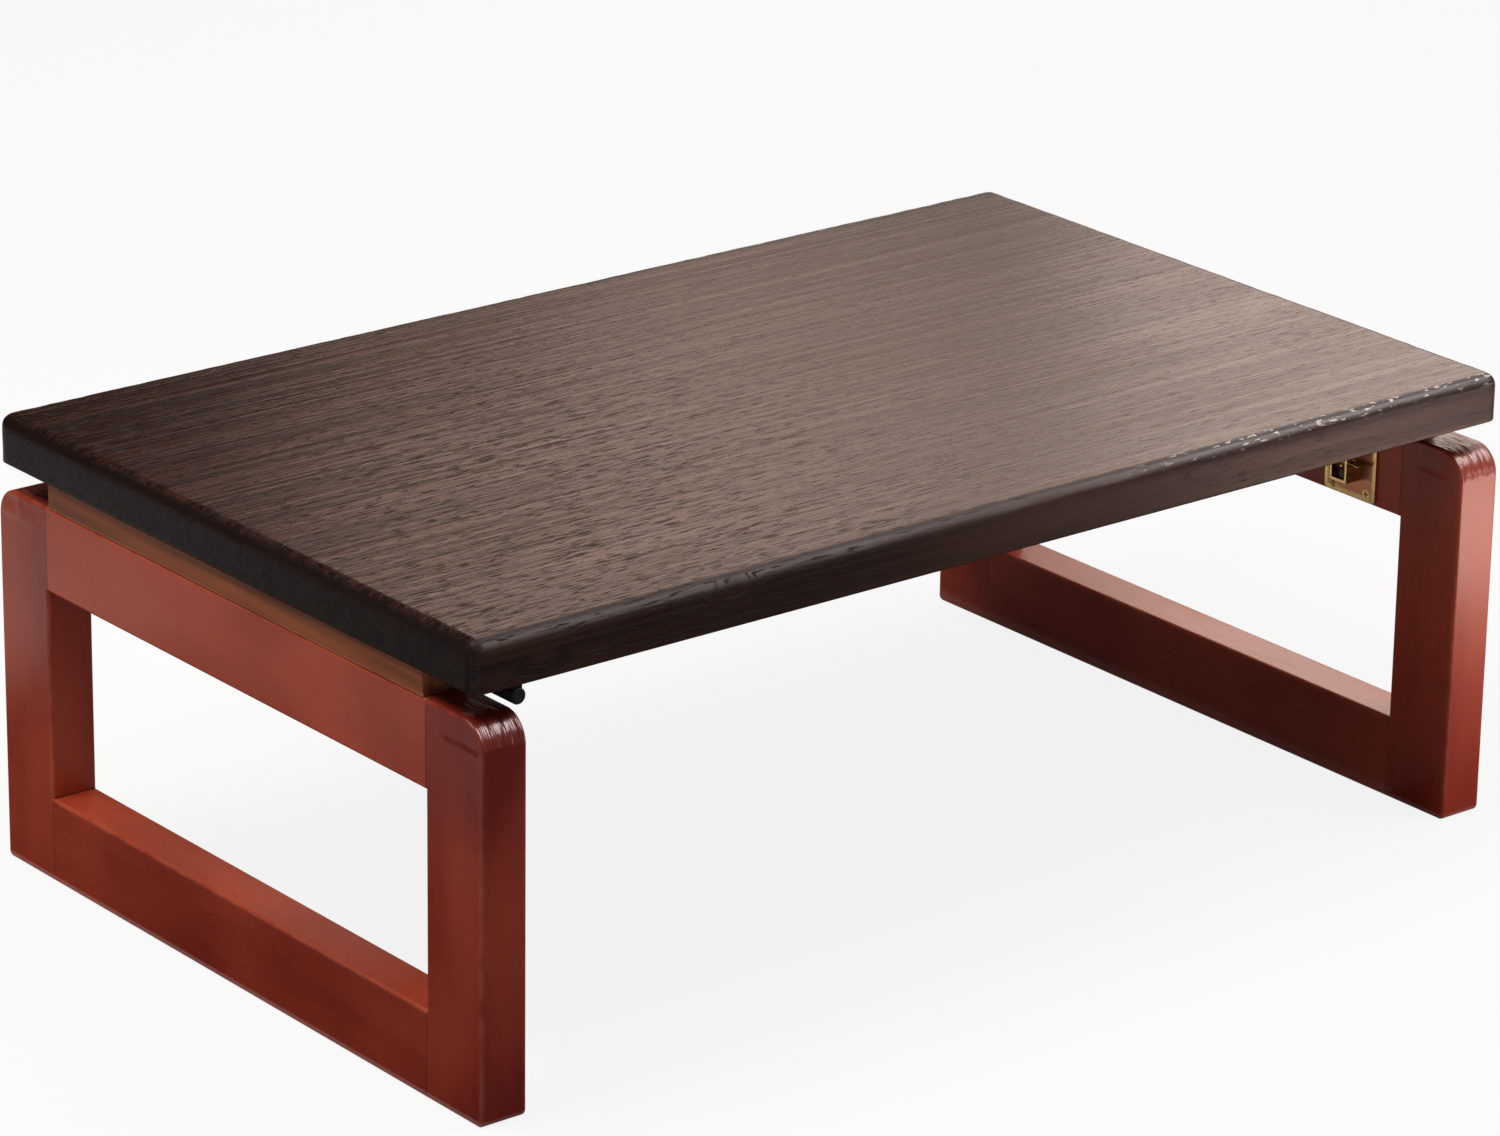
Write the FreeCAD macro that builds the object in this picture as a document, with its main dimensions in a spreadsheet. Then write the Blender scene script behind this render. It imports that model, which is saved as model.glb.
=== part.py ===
import FreeCAD, Part
import math
import os
import re
import Sketcher
from FreeCAD import Placement, Rotation, Vector

# A low folding table: a thick top on two picture-frame legs that swing in under it.
# Millimetres. X runs along the top, Y from front to back, Z up from the floor below the top's centre.
# Each end of the table is one assembly, drawn as the left end. The right end is the same, turned half round.

SIZES = [
    ("top_length", 800, "long side of the tabletop"),
    ("top_depth", 493, "short side of the tabletop"),
    ("top_thickness", 31, "thickness of the tabletop"),
    ("table_height", 295, "floor to the tabletop's upper face"),
    ("top_corner_radius", 9, "rounding of the tabletop's four corners in plan"),
    ("top_arris", 8, "rounding of the upper edge"),
    ("under_arris", 1, "rounding of the lower edge"),
    ("end_inset", 2.5, "leg's outer face in from the end of the top"),
    ("batten_setback", 56, "batten's ends in from the leg frame's front and back"),
    ("batten_depth", 17, "height of the batten between the top and a leg"),
    ("batten_arris", 1, "rounding of the batten's edges"),
    ("batten_screw_edge", 30, "batten's end to its first screw"),
    ("leg_overhang", 3.5, "leg frame proud of the top's front and back"),
    ("leg_thickness", 32, "leg frame along X"),
    ("post_width", 53, "upright of the leg frame"),
    ("top_rail_depth", 55, "height of the frame's top rail"),
    ("bottom_rail_depth", 55, "height of the frame's bottom rail"),
    ("leg_corner_radius", 18, "upper outside corners of the frame"),
    ("foot_corner_radius", 4, "lower outside corners of the frame"),
    ("leg_arris", 2, "rounding of the frame's edges"),
    ("tenon_length", 30, "tenon on each end of a rail"),
    ("tenon_thickness", 12, "tenon across the rail"),
    ("tenon_shoulder", 9, "tenon in from the rail's upper and lower edges"),
    ("glue_gap", 0.1, "room for glue round a tenon and at its end"),
    ("buffer_diameter", 10, "round bead of the rubber buffer"),
    ("buffer_depth", 12, "rubber buffer below the top"),
    ("buffer_neck", 6, "strip that joins the bead to the top, across"),
    ("buffer_length", 30, "rubber buffer front to back"),
    ("buffer_setback", 2.4, "buffer's centre out from the leg's inner face"),
    ("buffer_edge", 1, "buffer's end in from the edge of the top"),
    ("buffer_arris", 1.2, "rounding of the buffer's ends"),
    ("bracket_setback", 97.5, "each bracket's centre in from the leg frame's front or back"),
    ("plate_gauge", 1.6, "sheet that the brackets are pressed from"),
    ("plate_width", 46, "both bracket plates front to back"),
    ("top_plate_reach", 42, "plate under the top, inboard"),
    ("plate_corner_radius", 3, "corners of both plates"),
    ("plate_margin", 2, "leg plate's foot above the rail's lower edge"),
    ("plate_drop", 7, "leg plate's head below the top of the leg"),
    ("batten_gap", 0.5, "room between a bracket's ears and the batten"),
    ("pin_rise", 4, "pin's axis above the top of the leg"),
    ("pin_diameter", 4, "hinge pin"),
    ("pin_head_diameter", 6.6, "peened heads of the pin"),
    ("pin_head_thickness", 1.2, "peened heads of the pin"),
    ("pin_head_arris", 0.5, "rounding of those heads"),
    ("running_clearance", 0.06, "round the pin where it turns"),
    ("channel_width", 15, "leg plate's channel over both cheeks"),
    ("channel_foot", 12, "channel's lower end above the plate's foot"),
    ("knuckle_radius", 5, "cheeks round the pin"),
    ("side_clearance", 0.2, "between the cheeks and the ears inside them"),
    ("ear_radius", 7, "rim of the ears that the lock bar rides round"),
    ("notch_depth", 2.5, "notches in that rim"),
    ("lock_bar_diameter", 3, "lock bar and pull bar"),
    ("lock_clearance", 0.3, "lock bar clear of the rim when it is drawn back"),
    ("seat_clearance", 0.1, "lock bar clear of a notch's floor when it is home"),
    ("slot_clearance", 0.15, "round the bars in their slots and notches"),
    ("lock_bar_overhang", 1.5, "lock bar beyond each cheek"),
    ("pull_bar_overhang", 7, "pull bar beyond each cheek"),
    ("bar_arris", 0.6, "rounding of the bars' ends"),
    ("link_width", 7, "strip that joins the two bars"),
    ("link_gauge", 2, "thickness of that strip"),
    ("spring_diameter", 6, "lock spring over its coils"),
    ("spring_wire", 0.7, "wire of that spring"),
    ("spring_height", 7.6, "that spring when the slide is drawn back"),
    ("spring_foot_gauge", 1.2, "foot on the strip that the spring pushes"),
    ("spring_seat_gap", 0.05, "spring's ends to what they bear on"),
    ("screw_head_diameter", 7, "countersunk head"),
    ("screw_diameter", 3.6, "shank of the screw"),
    ("screw_length", 14, "screws of the brackets"),
    ("batten_screw_length", 32, "screws that hold the batten up to the top"),
    ("screw_point", 3.5, "cone at the screw's end"),
    ("screw_hole_clearance", 0.1, "round a shank and past its point"),
    ("screw_spread", 30, "between the two screws of a row"),
    ("screw_edge", 5, "row of screws in from a plate's edge"),
    ("ear_side_screw_edge", 17, "first row of the top plate, from the plate's pin side"),
    ("recess_width", 1, "cross recess of a screw"),
    ("recess_span", 4, "cross recess of a screw"),
    ("recess_depth", 1.1, "cross recess of a screw"),
    ("overrun", 4, "how far every cutter runs past what it cuts"),
]

# Sizes and places worked out from those above.
DERIVED = {
    "underside": "table_height - top_thickness",
    "leg_height": "underside - batten_depth",
    "leg_width": "top_depth + 2 * leg_overhang",
    "leg_centre": "top_length / 2 - end_inset - leg_thickness / 2",
    "leg_face": "leg_centre - leg_thickness / 2",
    "jamb": "leg_width / 2 - post_width",
    "batten_length": "leg_width - 2 * batten_setback",
    "bracket_offset": "leg_width / 2 - bracket_setback",
    "pin_setback": "ear_radius + batten_gap",
    "pin_out": "leg_face - pin_setback",
    "pin_height": "leg_height + pin_rise",
    "ceiling": "underside - pin_height",
    "plate_foot": "plate_margin - top_rail_depth - pin_rise",
    "leg_plate_height": "top_rail_depth - plate_margin - plate_drop",
    "plate_head": "plate_foot + leg_plate_height",
    "cheek_foot": "plate_foot + channel_foot",
    "cheek_outer": "channel_width / 2",
    "cheek_inner": "cheek_outer - plate_gauge",
    "ear_outer": "cheek_inner - side_clearance",
    "ear_inner": "ear_outer - plate_gauge",
    "leg_plate_face": "plate_gauge - pin_setback",
    "top_plate_face": "ceiling - plate_gauge",
    "bar_radius": "lock_bar_diameter / 2",
    "slot_radius": "bar_radius + slot_clearance",
    "lock_drop": "ear_radius + bar_radius + lock_clearance",
    "notch_floor": "ear_radius - notch_depth",
    "lock_travel": "lock_drop - notch_floor - bar_radius - seat_clearance",
    "spring_floor": "cheek_foot + plate_gauge + spring_seat_gap",
    "link_foot": "spring_floor + spring_height + spring_seat_gap",
    "pull_bar_drop": "-(link_foot + spring_foot_gauge + bar_radius)",
    "hole_radius": "screw_diameter / 2 + screw_hole_clearance",
    "head_radius": "screw_head_diameter / 2",
}

SPRING_TURNS = 5
BATTEN_SCREWS = 4
TURN = {"left": 1, "right": -1}
AXES = {"x": Vector(1, 0, 0), "y": Vector(0, 1, 0), "z": Vector(0, 0, 1)}

doc = FreeCAD.newDocument("folding_coffee_table")
subparts = []


def make_sheet():
    sheet = doc.addObject("Spreadsheet::Sheet", "Sizes")
    for row, (alias, value, meaning) in enumerate(SIZES, start=1):
        sheet.set(f"A{row}", meaning)
        sheet.set(f"B{row}", str(value))
        sheet.setAlias(f"B{row}", alias)
    doc.recompute()
    return sheet


sheet = make_sheet()
aliases = {alias for alias, value, meaning in SIZES}


def full(text):
    """Write a size out in terms of the sheet's cells."""
    def spell(match):
        word = match.group(0)
        if word in DERIVED:
            return f"({full(DERIVED[word])})"
        return f"Sizes.{word}" if word in aliases else word
    return re.sub(r"[a-z_]+", spell, str(text))


def mm(text):
    return float(sheet.evalExpression(full(text)))


def bind(thing, **sizes):
    for path, text in sizes.items():
        thing.setExpression(path.replace("__", "."), full(text))


def move(thing, x="0", y="0", z="0"):
    bind(thing, Placement__Base__x=x, Placement__Base__y=y, Placement__Base__z=z)
    return thing


def seat(thing, label, side, out, along, up):
    """Name a finished sub-part and set it down at one end of the table."""
    sign = "-" if TURN[side] > 0 else ""
    thing.Label = label
    thing.Placement = Placement(Vector(), Rotation(AXES["z"], 0 if TURN[side] > 0 else 180))
    move(thing, f"{sign}({out})", f"{TURN[side]} * ({along})", up)
    subparts.append(thing)
    return thing


def end_label(side, hand):
    """The name of a place at one end: hand is -1 for the side drawn at the front of the left end."""
    return f"{side}_front" if hand * TURN[side] < 0 else f"{side}_back"


def box(name, x, y, z):
    """A block between two places on each axis."""
    block = doc.addObject("Part::Box", name)
    spans = [f"({high}) - ({low})" for low, high in (x, y, z)]
    bind(block, Length=spans[0], Width=spans[1], Height=spans[2])
    return move(block, x[0], y[0], z[0])


def rod(name, axis, radius, low, high, x="0", y="0", z="0"):
    """A cylinder along one axis, from low to high, whose axis passes through the other two places."""
    cylinder = doc.addObject("Part::Cylinder", name)
    cylinder.Placement = Placement(Vector(), Rotation(AXES["z"], AXES[axis]))
    bind(cylinder, Radius=radius, Height=f"({high}) - ({low})")
    place = {"x": x, "y": y, "z": z}
    place[axis] = low
    return move(cylinder, **place)


def join(name, *pieces):
    union = doc.addObject("Part::MultiFuse", name)
    union.Shapes = list(pieces)
    union.Refine = True
    return union


def group(name, *pieces):
    compound = doc.addObject("Part::Compound", name)
    compound.Links = list(pieces)
    return compound


def cut(name, base, *tools):
    result = doc.addObject("Part::Cut", name)
    result.Base = base
    result.Tool = tools[0] if len(tools) == 1 else group(f"{name}_cutters", *tools)
    result.Refine = True
    return result


def centred_rectangle(body, plane, name, width, height):
    """A sketch on one of the body's own planes: a rectangle about its origin."""
    sketch = body.newObject("Sketcher::SketchObject", name)
    sketch.AttachmentSupport = [(next(o for o in body.Origin.OriginFeatures if o.Role == plane), "")]
    sketch.MapMode = "FlatFace"
    across, up = mm(width) / 2, mm(height) / 2
    corners = [Vector(-across, -up, 0), Vector(across, -up, 0), Vector(across, up, 0), Vector(-across, up, 0)]
    sides = [Part.LineSegment(a, b) for a, b in zip(corners, corners[1:] + corners[:1])]
    sketch.addGeometry(sides, False)
    for line in range(4):
        sketch.addConstraint(Sketcher.Constraint("Coincident", line, 2, (line + 1) % 4, 1))
        sketch.addConstraint(Sketcher.Constraint("Horizontal" if line % 2 == 0 else "Vertical", line))
    sketch.addConstraint(Sketcher.Constraint("Symmetric", 0, 1, 1, 2, -1, 1))
    wide = sketch.addConstraint(Sketcher.Constraint("DistanceX", 0, 1, 0, 2, 2 * across))
    high = sketch.addConstraint(Sketcher.Constraint("DistanceY", 1, 1, 1, 2, 2 * up))
    sketch.renameConstraint(wide, "width")
    sketch.renameConstraint(high, "height")
    bind(sketch, Constraints__width=width, Constraints__height=height)
    return sketch


def edges_where(feature, test):
    """The names of the feature's edges that pass a test on their two ends."""
    doc.recompute()
    names = []
    for number, edge in enumerate(feature.Shape.Edges, start=1):
        ends = [vertex.Point for vertex in edge.Vertexes]
        if test(ends[0], ends[-1]):
            names.append(f"Edge{number}")
    return names


def fillet(body, name, feature, radius, test):
    rounding = body.newObject("PartDesign::Fillet", name)
    rounding.Base = (feature, edges_where(feature, test))
    bind(rounding, Radius=radius)
    return rounding


def along(axis):
    """A test for edges that run along one axis."""
    def test(start, end):
        run = end - start
        return run.Length > 0 and abs(abs(run.normalize().dot(AXES[axis])) - 1) < 1e-6
    return test


def level(axis, place):
    """A test for edges that lie at one place on an axis, such as the rim of a face."""
    def test(start, end):
        return all(abs(point.dot(AXES[axis]) - mm(place)) < 1e-6 for point in (start, end))
    return test


def panel(name, plane, axis, width, height, thickness):
    """A body with a centred rectangle on one plane, padded along the axis that is square to it."""
    body = doc.addObject("PartDesign::Body", name)
    sketch = centred_rectangle(body, plane, f"{name}_outline", width, height)
    pad = body.newObject("PartDesign::Pad", f"{name}_pad")
    pad.Profile = sketch
    bind(pad, Length=thickness)
    doc.recompute()
    assert pad.Shape.CenterOfMass.dot(AXES[axis]) > 0
    return body, pad


# Screws

def bracket_screw(name, length):
    """A countersunk wood screw with its head's face at z = 0 and its shank below."""
    head = doc.addObject("Part::Cone", f"{name}_head")
    bind(head, Radius1="screw_diameter / 2", Radius2="head_radius", Height="plate_gauge")
    move(head, z="-plate_gauge")
    shank = rod(f"{name}_shank", "z", "screw_diameter / 2", f"screw_point - {length}", "-plate_gauge")
    point = doc.addObject("Part::Cone", f"{name}_point")
    bind(point, Radius1="0", Radius2="screw_diameter / 2", Height="screw_point")
    move(point, z=f"-{length}")
    slots = [
        box(f"{name}_slot", ("-recess_span / 2", "recess_span / 2"),
            ("-recess_width / 2", "recess_width / 2"), ("-recess_depth", "overrun")),
        box(f"{name}_cross_slot", ("-recess_width / 2", "recess_width / 2"),
            ("-recess_span / 2", "recess_span / 2"), ("-recess_depth", "overrun")),
    ]
    return cut(name, join(f"{name}_blank", head, shank, point), *slots)


def screw_group(label, side, screw, out, along_y, up, direction, places):
    """Copies of one screw at the places of its holes, as one node of separate solids."""
    doc.recompute()
    heads_face = Rotation(AXES["z"], direction)
    shapes = []
    for place in places:
        copy = screw.Shape.copy()
        copy.Placement = Placement(Vector(*[mm(text) for text in place]), heads_face)
        shapes.append(copy)
    node = doc.addObject("Part::Feature", label)
    node.Shape = Part.makeCompound(shapes)
    return seat(node, label, side, out, along_y, up)


def screw_sockets(name, axis, low, high, places, sink):
    """Clearance holes for screws along an axis, each with a countersink that opens at sink."""
    holes = []
    for number, place in enumerate(places):
        spots = dict(zip("xyz", place))
        holes.append(rod(f"{name}_hole_{number}", axis, "hole_radius", low, high, **spots))
        cone = doc.addObject("Part::Cone", f"{name}_sink_{number}")
        outward = AXES[axis] if sink[1] > 0 else AXES[axis] * -1
        cone.Placement = Placement(Vector(), Rotation(AXES["z"], outward))
        bind(cone, Radius1="hole_radius", Radius2="head_radius + screw_hole_clearance", Height="plate_gauge")
        spots[axis] = f"{sink[0]} - ({sink[1]}) * plate_gauge"
        holes.append(move(cone, **spots))
    return group(name, *holes)


def batten_screw_spots():
    """Where the batten's screws stand along it, evenly between the first and the last."""
    step = f"(batten_length - 2 * batten_screw_edge) / {BATTEN_SCREWS - 1}"
    return [f"batten_screw_edge - batten_length / 2 + {number} * {step}" for number in range(BATTEN_SCREWS)]


def leg_plate_screws():
    """The four screws of the plate on the leg, from the pin's axis."""
    sides = ["-screw_spread / 2", "screw_spread / 2"]
    rows = ["plate_foot + screw_edge", "plate_head - screw_edge"]
    return [("leg_plate_face", side, row) for side in sides for row in rows]


def top_plate_screws():
    """The four screws of the plate under the top, from the pin's axis."""
    sides = ["-screw_spread / 2", "screw_spread / 2"]
    rows = ["ear_side_screw_edge - ear_radius", "top_plate_reach - ear_radius - screw_edge"]
    return [(row, side, "top_plate_face") for side in sides for row in rows]


# Tabletop

def make_tabletop():
    body, pad = panel("tabletop_board", "XY_Plane", "z", "top_length", "top_depth", "top_thickness")
    corners = fillet(body, "tabletop_corners", pad, "top_corner_radius", along("z"))
    upper = fillet(body, "tabletop_upper_edge", corners, "top_arris", level("z", "top_thickness"))
    fillet(body, "tabletop_lower_edge", upper, "under_arris", level("z", "0"))
    holes = []
    for side in TURN:
        outward = f"{-TURN[side]}"
        for number, spot in enumerate(batten_screw_spots()):
            holes.append(rod(
                f"{side}_batten_pilot_{number}", "z", "hole_radius", "-overrun",
                "batten_screw_length - batten_depth + screw_hole_clearance",
                x=f"{outward} * leg_centre", y=spot))
        for hand in (-1, 1):
            for number, (inboard, across, up) in enumerate(top_plate_screws()):
                holes.append(rod(
                    f"{end_label(side, hand)}_pilot_{number}", "z", "hole_radius", "-overrun",
                    "screw_length - plate_gauge + screw_hole_clearance",
                    x=f"{outward} * (pin_out - ({inboard}))",
                    y=f"{hand} * bracket_offset + {across}"))
    tabletop = cut("tabletop", body, *holes)
    tabletop.Label = "tabletop"
    subparts.append(move(tabletop, z="underside"))


def make_batten(side):
    body, pad = panel(f"{side}_batten_bar", "XY_Plane", "z", "leg_thickness", "batten_length", "batten_depth")
    fillet(body, f"{side}_batten_edges", pad, "batten_arris", lambda start, end: True)
    places = [("0", spot, "0") for spot in batten_screw_spots()]
    sockets = screw_sockets(f"{side}_batten_sockets", "z", "-overrun", "batten_depth + overrun",
                            places, ("0", -1))
    batten = cut(f"{side}_batten_drilled", body, sockets)
    seat(batten, f"{side}_batten", side, "leg_centre", "0", "leg_height")


def make_buffer(side):
    """A rubber buffer under the top: a round bead with rounded ends on a narrower strip."""
    half = "buffer_diameter / 2"
    bead = rod(f"{side}_buffer_bead", "y", half, "-buffer_length / 2", "buffer_length / 2",
               z=f"{half} - buffer_depth")
    doc.recompute()
    ends = [edge for edge in bead.Shape.Edges if edge.BoundBox.YLength < 1e-6]
    rounded = doc.addObject("Part::Feature", f"{side}_buffer_rounded")
    rounded.Shape = bead.Shape.makeFillet(mm("buffer_arris"), ends)
    reach = "buffer_length / 2 - buffer_arris"
    neck = box(f"{side}_buffer_neck", ("-buffer_neck / 2", "buffer_neck / 2"), (f"-({reach})", reach),
               (f"{half} - buffer_depth", "0"))
    seat(join(f"{side}_buffer_joined", rounded, neck), f"{side}_rubber_buffer", side,
         "leg_face + buffer_setback", "-(top_depth / 2 - buffer_edge - buffer_length / 2)", "underside")


# Leg frame: the whole frame's outline with its rounded edges, shared out between two posts and two rails

def make_leg_outline(side):
    name = f"{side}_leg"
    body, pad = panel(f"{name}_outline", "YZ_Plane", "x", "leg_width", "leg_height", "leg_thickness")
    window = centred_rectangle(body, "YZ_Plane", f"{name}_window", "2 * jamb",
                               "leg_height - top_rail_depth - bottom_rail_depth")
    bind(window, AttachmentOffset__Base__y="(bottom_rail_depth - top_rail_depth) / 2")
    pocket = body.newObject("PartDesign::Pocket", f"{name}_window_pocket")
    pocket.Profile = window
    pocket.Reversed = True
    bind(pocket, Length="leg_thickness")
    doc.recompute()
    assert pocket.Shape.Volume < pad.Shape.Volume
    across, half_height = mm("leg_width / 2"), mm("leg_height / 2")

    def outside(sign):
        def test(start, end):
            at_side = abs(abs(start.y) - across) < 1e-6
            return along("x")(start, end) and at_side and abs(start.z - sign * half_height) < 1e-6
        return test

    shoulders = fillet(body, f"{name}_shoulders", pocket, "leg_corner_radius", outside(1))
    feet = fillet(body, f"{name}_feet", shoulders, "foot_corner_radius", outside(-1))
    inner_face, outer_face = level("x", "leg_thickness"), level("x", "0")
    fillet(body, f"{name}_arris", feet, "leg_arris",
           lambda start, end: inner_face(start, end) or outer_face(start, end))
    return move(body, "-leg_thickness / 2", "0", "leg_height / 2")


def share(name, outline, y, z):
    """The part of the leg's outline that falls between two places on Y and on Z."""
    piece = doc.addObject("Part::Common", name)
    piece.Base = outline
    piece.Tool = box(f"{name}_share", ("-leg_thickness", "leg_thickness"), y, z)
    piece.Refine = True
    return piece


RAILS = {
    "bottom": ("0", "bottom_rail_depth"),
    "top": ("leg_height - top_rail_depth", "leg_height"),
}


def tenon(name, rail, y, slack):
    low, high = RAILS[rail]
    half = f"tenon_thickness / 2 + {slack}"
    return box(name, (f"-({half})", half), y,
               (f"{low} + tenon_shoulder - {slack}", f"{high} - tenon_shoulder + {slack}"))


def make_posts(side, outline):
    for hand in (-1, 1):
        label = f"{end_label(side, hand)}_post"
        width = ("jamb", "leg_width / 2 + overrun")
        socket = ("jamb - overrun", "jamb + tenon_length + glue_gap")
        if hand < 0:
            width = tuple(f"-({place})" for place in reversed(width))
            socket = tuple(f"-({place})" for place in reversed(socket))
        post = share(f"{label}_blank", outline, width, ("-overrun", "leg_height + overrun"))
        mortises = [tenon(f"{label}_{rail}_mortise", rail, socket, "glue_gap") for rail in RAILS]
        seat(cut(f"{label}_mortised", post, *mortises), label, side, "leg_centre", "0", "0")


def make_rails(side, outline):
    shoulders = ("-(jamb)", "jamb")
    tenons = ("-(jamb + tenon_length)", "jamb + tenon_length")
    for rail, (low, high) in RAILS.items():
        label = f"{side}_{rail}_rail"
        above = (f"{low} - overrun", f"{high}") if rail == "bottom" else (low, f"{high} + overrun")
        bar = share(f"{label}_bar", outline, shoulders, above)
        piece = join(f"{label}_tenoned", bar, tenon(f"{label}_tenons", rail, tenons, "0"))
        if rail == "top":
            pilots = []
            for hand in (-1, 1):
                for number, (inboard, across, up) in enumerate(leg_plate_screws()):
                    pilots.append(rod(
                        f"{label}_pilot_{hand + 1}_{number}", "x", "hole_radius",
                        "leg_thickness / 2 - (screw_length - plate_gauge) - screw_hole_clearance",
                        "leg_thickness / 2 + overrun",
                        y=f"{hand} * bracket_offset + {across}", z=f"pin_height + {up}"))
            piece = cut(f"{label}_drilled", piece, *pilots)
        seat(piece, label, side, "leg_centre", "0", "0")


# Folding bracket, drawn about its pin: x inboard, y along the pin, z up

def make_leg_plate(side, hand):
    name = f"{end_label(side, hand)}_leg_plate"
    body, pad = panel(f"{name}_sheet", "YZ_Plane", "x", "plate_width", "leg_plate_height", "plate_gauge")
    fillet(body, f"{name}_corners", pad, "plate_corner_radius", along("x"))
    move(body, "-pin_setback", "0", "plate_foot + leg_plate_height / 2")
    pieces = [body]
    for cheek, (low, high) in {
        "front": ("-cheek_outer", "-cheek_inner"),
        "back": ("cheek_inner", "cheek_outer"),
    }.items():
        web = box(f"{name}_{cheek}_web", ("-pin_setback", "knuckle_radius"), (low, high),
                  ("cheek_foot", "plate_head"))
        neck = box(f"{name}_{cheek}_neck", ("-knuckle_radius", "knuckle_radius"), (low, high),
                   ("plate_head", "0"))
        pieces += [web, neck, rod(f"{name}_{cheek}_knuckle", "y", "knuckle_radius", low, high)]
    pieces.append(box(f"{name}_spring_tab", ("-pin_setback", "knuckle_radius"),
                      ("-cheek_inner", "cheek_inner"), ("cheek_foot", "cheek_foot + plate_gauge")))
    across = ("-cheek_outer - overrun", "cheek_outer + overrun")
    cutters = [rod(f"{name}_pin_hole", "y", "pin_diameter / 2 + running_clearance", *across)]
    for bar, drop in {"lock": "lock_drop", "pull": "pull_bar_drop"}.items():
        low, high = f"-({drop})", f"lock_travel - ({drop})"
        cutters.append(box(f"{name}_{bar}_slot", ("-slot_radius", "slot_radius"), across, (low, high)))
        for end, height in {"low": low, "high": high}.items():
            cutters.append(rod(f"{name}_{bar}_slot_{end}", "y", "slot_radius", *across, z=height))
    cutters.append(screw_sockets(f"{name}_sockets", "x", "-pin_setback - overrun",
                                 "leg_plate_face + overrun", leg_plate_screws(), ("leg_plate_face", 1)))
    plate = cut(f"{name}_pierced", join(f"{name}_pressing", *pieces), *cutters)
    seat(plate, name, side, "pin_out", f"{hand} * bracket_offset", "pin_height")


def make_top_plate(side, hand):
    name = f"{end_label(side, hand)}_top_plate"
    body, pad = panel(f"{name}_sheet", "XY_Plane", "z", "top_plate_reach", "plate_width", "plate_gauge")
    fillet(body, f"{name}_corners", pad, "plate_corner_radius", along("z"))
    move(body, "top_plate_reach / 2 - ear_radius", "0", "top_plate_face")
    pieces = [body]
    for ear, (low, high) in {
        "front": ("-ear_outer", "-ear_inner"),
        "back": ("ear_inner", "ear_outer"),
    }.items():
        pieces.append(box(f"{name}_{ear}_web", ("-ear_radius", "ear_radius"), (low, high),
                          ("0", "top_plate_face + plate_gauge / 2")))
        pieces.append(rod(f"{name}_{ear}_rim", "y", "ear_radius", low, high))
    across = ("-ear_outer - overrun", "ear_outer + overrun")
    width = ("-slot_radius", "slot_radius")
    cutters = [
        rod(f"{name}_pin_hole", "y", "pin_diameter / 2 + running_clearance", *across),
        box(f"{name}_open_notch", width, across, ("-ear_radius - overrun", "-notch_floor")),
        box(f"{name}_folded_notch", ("notch_floor", "ear_radius + overrun"), across, width),
        screw_sockets(f"{name}_sockets", "z", "top_plate_face - overrun", "ceiling + overrun",
                      top_plate_screws(), ("top_plate_face", -1)),
    ]
    plate = cut(f"{name}_pierced", join(f"{name}_pressing", *pieces), *cutters)
    seat(plate, name, side, "pin_out", f"{hand} * bracket_offset", "pin_height")


def make_hinge_pin(side, hand):
    name = f"{end_label(side, hand)}_hinge_pin"
    reach = "cheek_outer + pin_head_thickness"
    shank = rod(f"{name}_shank", "y", "pin_diameter / 2", f"-({reach})", reach)
    heads = [
        rod(f"{name}_front_head", "y", "pin_head_diameter / 2", f"-({reach})", "-cheek_outer"),
        rod(f"{name}_back_head", "y", "pin_head_diameter / 2", "cheek_outer", reach),
    ]
    blank = join(f"{name}_blank", shank, *heads)
    doc.recompute()
    rims = [edge for edge in blank.Shape.Edges
            if abs(abs(edge.BoundBox.Center.y) - mm(reach)) < 1e-6]
    pin = doc.addObject("Part::Feature", f"{name}_rounded")
    pin.Shape = blank.Shape.makeFillet(mm("pin_head_arris"), rims)
    seat(pin, name, side, "pin_out", f"{hand} * bracket_offset", "pin_height")


def make_lock_slide(side, hand):
    """Two bars on a strip, drawn back to the lower ends of their slots."""
    name = f"{end_label(side, hand)}_lock_slide"
    bars = []
    for bar, drop, overhang in (
        ("lock_bar", "lock_drop", "lock_bar_overhang"),
        ("pull_bar", "pull_bar_drop", "pull_bar_overhang"),
    ):
        reach = f"cheek_outer + {overhang}"
        bars.append(rod(f"{name}_{bar}", "y", "bar_radius", f"-({reach})", reach, z=f"-({drop})"))
    strip = box(f"{name}_strip", ("-link_gauge / 2", "link_gauge / 2"), ("-link_width / 2", "link_width / 2"),
                ("link_foot", "-(lock_drop)"))
    foot = rod(f"{name}_foot", "z", "spring_diameter / 2", "link_foot", "link_foot + spring_foot_gauge")
    blank = join(f"{name}_blank", strip, foot, *bars)
    doc.recompute()
    tips = [mm("cheek_outer + lock_bar_overhang"), mm("cheek_outer + pull_bar_overhang")]
    rims = [edge for edge in blank.Shape.Edges
            if any(abs(abs(edge.BoundBox.Center.y) - tip) < 1e-6 for tip in tips)]
    slide = doc.addObject("Part::Feature", f"{name}_rounded")
    slide.Shape = blank.Shape.makeFillet(mm("bar_arris"), rims)
    seat(slide, name, side, "pin_out", f"{hand} * bracket_offset", "pin_height")


def arc(start, heading, end):
    """The arc that leaves start along heading and arrives at end."""
    chord = end - start
    middle = start + chord * 0.5
    cosine = heading.dot(chord) / chord.Length
    corner = start + heading * (chord.Length / (2 * cosine))
    half_angle = math.acos(cosine)
    rise = math.tan(half_angle / 2) / math.tan(half_angle)
    return Part.Arc(start, middle + (corner - middle) * rise, end)


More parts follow.
